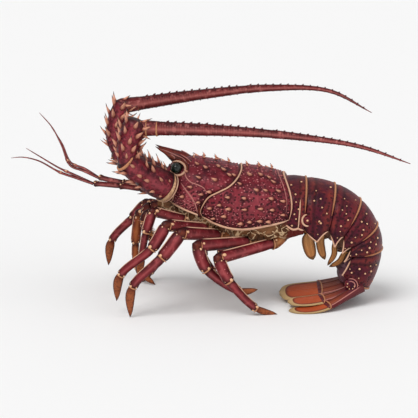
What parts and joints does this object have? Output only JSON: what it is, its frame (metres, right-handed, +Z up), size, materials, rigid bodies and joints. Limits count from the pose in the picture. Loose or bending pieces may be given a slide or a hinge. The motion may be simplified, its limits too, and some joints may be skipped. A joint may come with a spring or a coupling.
{
  "type": "spiny lobster",
  "caption": "Life-size spiny lobster standing on its legs, tail curled under with a spread fan, long feelers swept back over the body.",
  "frame": {"origin": "bottom centre of the whole model's box, on the floor that the feet and the tail fan rest on", "axes": "+Z up, -X towards the head, -Y towards the animal's left side"},
  "size_m": [0.4267, 0.1868, 0.2318],
  "materials": {
    "shell": "satin maroon shell with pits, pale knobs and cream borders",
    "underside": "dull olive-brown skin with cream swirls",
    "eye": "glossy green-black",
    "feeler": "satin dark red, darker to the tips",
    "leg": "satin red-brown with orange-brown claws",
    "mouth_limb": "orange-brown with short bristles",
    "swimmeret": "dull ochre",
    "tail_fan": "orange-brown blades with pale rims"
  },
  "bodies": {
    "root": {"carapace_head": "shell", "carapace_thorax": "shell", "thorax_underside": "underside", "eye_left": "eye", "eye_right": "eye", "antenna_left_base": "shell", "antenna_left_middle": "shell", "antenna_left_end": "shell", "antenna_left_whip_inner": "feeler", "antenna_left_whip_outer": "feeler", "antenna_right_base": "shell", "antenna_right_middle": "shell", "antenna_right_end": "shell", "antenna_right_whip_inner": "feeler", "antenna_right_whip_outer": "feeler", "antennule_left": "feeler", "antennule_right": "feeler", "maxilliped_left": "mouth_limb", "maxilliped_right": "mouth_limb", "leg_left_1_upper": "leg", "leg_left_1_lower": "leg", "leg_left_2_upper": "leg", "leg_left_2_lower": "leg", "leg_left_3_upper": "leg", "leg_left_3_lower": "leg", "leg_left_4_upper": "leg", "leg_left_4_lower": "leg", "leg_left_5_upper": "leg", "leg_left_5_lower": "leg", "leg_right_1_upper": "leg", "leg_right_1_lower": "leg", "leg_right_2_upper": "leg", "leg_right_2_lower": "leg", "leg_right_3_upper": "leg", "leg_right_3_lower": "leg", "leg_right_4_upper": "leg", "leg_right_4_lower": "leg", "leg_right_5_upper": "leg", "leg_right_5_lower": "leg", "abdomen_1": "shell", "abdomen_2": "shell", "abdomen_3": "shell", "abdomen_4": "shell", "abdomen_5": "shell", "abdomen_6": "shell", "swimmeret_left_2": "swimmeret", "swimmeret_right_2": "swimmeret", "swimmeret_left_3": "swimmeret", "swimmeret_right_3": "swimmeret", "swimmeret_left_4": "swimmeret", "swimmeret_right_4": "swimmeret", "swimmeret_left_5": "swimmeret", "swimmeret_right_5": "swimmeret", "telson": "tail_fan", "fan_blade_left_inner": "tail_fan", "fan_blade_left_outer": "tail_fan", "fan_blade_right_inner": "tail_fan", "fan_blade_right_outer": "tail_fan"}
  },
  "joints": []
}
